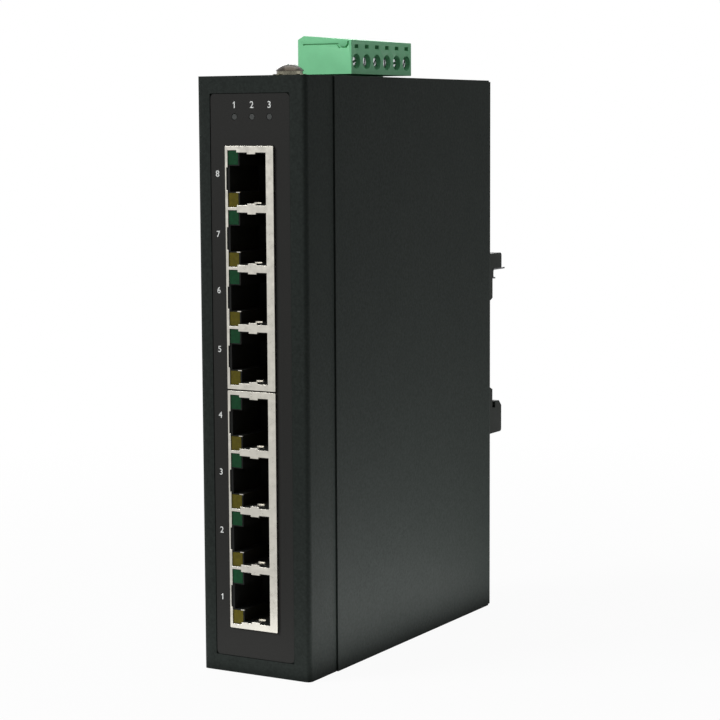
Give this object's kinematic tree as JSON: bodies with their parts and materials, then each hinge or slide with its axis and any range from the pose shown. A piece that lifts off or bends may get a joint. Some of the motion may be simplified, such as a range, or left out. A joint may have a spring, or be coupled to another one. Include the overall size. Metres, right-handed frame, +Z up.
{
  "type": "din rail ethernet switch",
  "caption": "Slim folded-steel network switch for a top hat rail: ganged shielded jacks with lamps in front, pluggable power terminal and earth screw on top, rail clip behind.",
  "frame": {"origin": "middle of the whole part's footprint at the level of the foot", "axes": "+X across the case towards the removable side cover, -Y out of the front panel with the jacks, +Y towards the rail clip, +Z up towards the power terminal"},
  "size_m": [0.0304, 0.1084, 0.1523],
  "materials": {
    "case_paint": "matt charcoal powder coat with a fine texture",
    "label_film": "matt dark grey printed film",
    "tinned_steel": "bright tin plate",
    "jack_plastic": "black moulded plastic",
    "contact_metal": "gold flashed wire",
    "green_lens": "clear green lens, unlit",
    "yellow_lens": "clear yellow lens, unlit",
    "status_lens": "diffused lens, unlit",
    "nickel_plate": "nickel plate",
    "zinc_plate": "bright zinc plate",
    "spring_steel": "dark spring steel",
    "board_laminate": "green solder resist",
    "tinned_copper": "tinned copper alloy",
    "terminal_plastic": "pale green moulded plastic",
    "clip_plastic": "black plastic",
    "component_black": "black moulding compound",
    "can_aluminium": "drawn metal can",
    "relay_case": "black relay case"
  },
  "bodies": {
    "switch": {"alarm_relay": "relay_case", "board_screws": "zinc_plate", "board_standoffs": "case_paint", "clip_nuts": "zinc_plate", "clip_screws": "zinc_plate", "clip_spring": "spring_steel", "cover_screws": "zinc_plate", "crystal": "can_aluminium", "front_label": "label_film", "ground_nut": "nickel_plate", "ground_screw": "nickel_plate", "ground_washer": "nickel_plate", "header_pins": "tinned_copper", "jack_body_lower": "jack_plastic", "jack_body_upper": "jack_plastic", "jack_shield_lower": "tinned_steel", "jack_shield_upper": "tinned_steel", "magnetics_lower": "component_black", "magnetics_upper": "component_black", "main_board": "board_laminate", "main_shell": "case_paint", "port_1_contacts": "contact_metal", "port_1_green_lamp": "green_lens", "port_1_yellow_lamp": "yellow_lens", "port_2_contacts": "contact_metal", "port_2_green_lamp": "green_lens", "port_2_yellow_lamp": "yellow_lens", "port_3_contacts": "contact_metal", "port_3_green_lamp": "green_lens", "port_3_yellow_lamp": "yellow_lens", "port_4_contacts": "contact_metal", "port_4_green_lamp": "green_lens", "port_4_yellow_lamp": "yellow_lens", "port_5_contacts": "contact_metal", "port_5_green_lamp": "green_lens", "port_5_yellow_lamp": "yellow_lens", "port_6_contacts": "contact_metal", "port_6_green_lamp": "green_lens", "port_6_yellow_lamp": "yellow_lens", "port_7_contacts": "contact_metal", "port_7_green_lamp": "green_lens", "port_7_yellow_lamp": "yellow_lens", "port_8_contacts": "contact_metal", "port_8_green_lamp": "green_lens", "port_8_yellow_lamp": "yellow_lens", "power_capacitors": "can_aluminium", "power_inductor": "component_black", "rail_clip": "clip_plastic", "side_cover": "case_paint", "status_lamp_1": "status_lens", "status_lamp_2": "status_lens", "status_lamp_3": "status_lens", "status_lamp_holder": "jack_plastic", "switch_chip": "component_black", "terminal_header": "terminal_plastic"},
    "terminal_plug": {"plug_housing": "terminal_plastic", "plug_clamps": "tinned_copper", "plug_screws": "zinc_plate"}
  },
  "joints": [
    {"name": "plug_pull", "type": "slide", "parent": "switch", "child": "terminal_plug", "axis": [0, 0, 1], "range_m": [0, 0.012]}
  ]
}
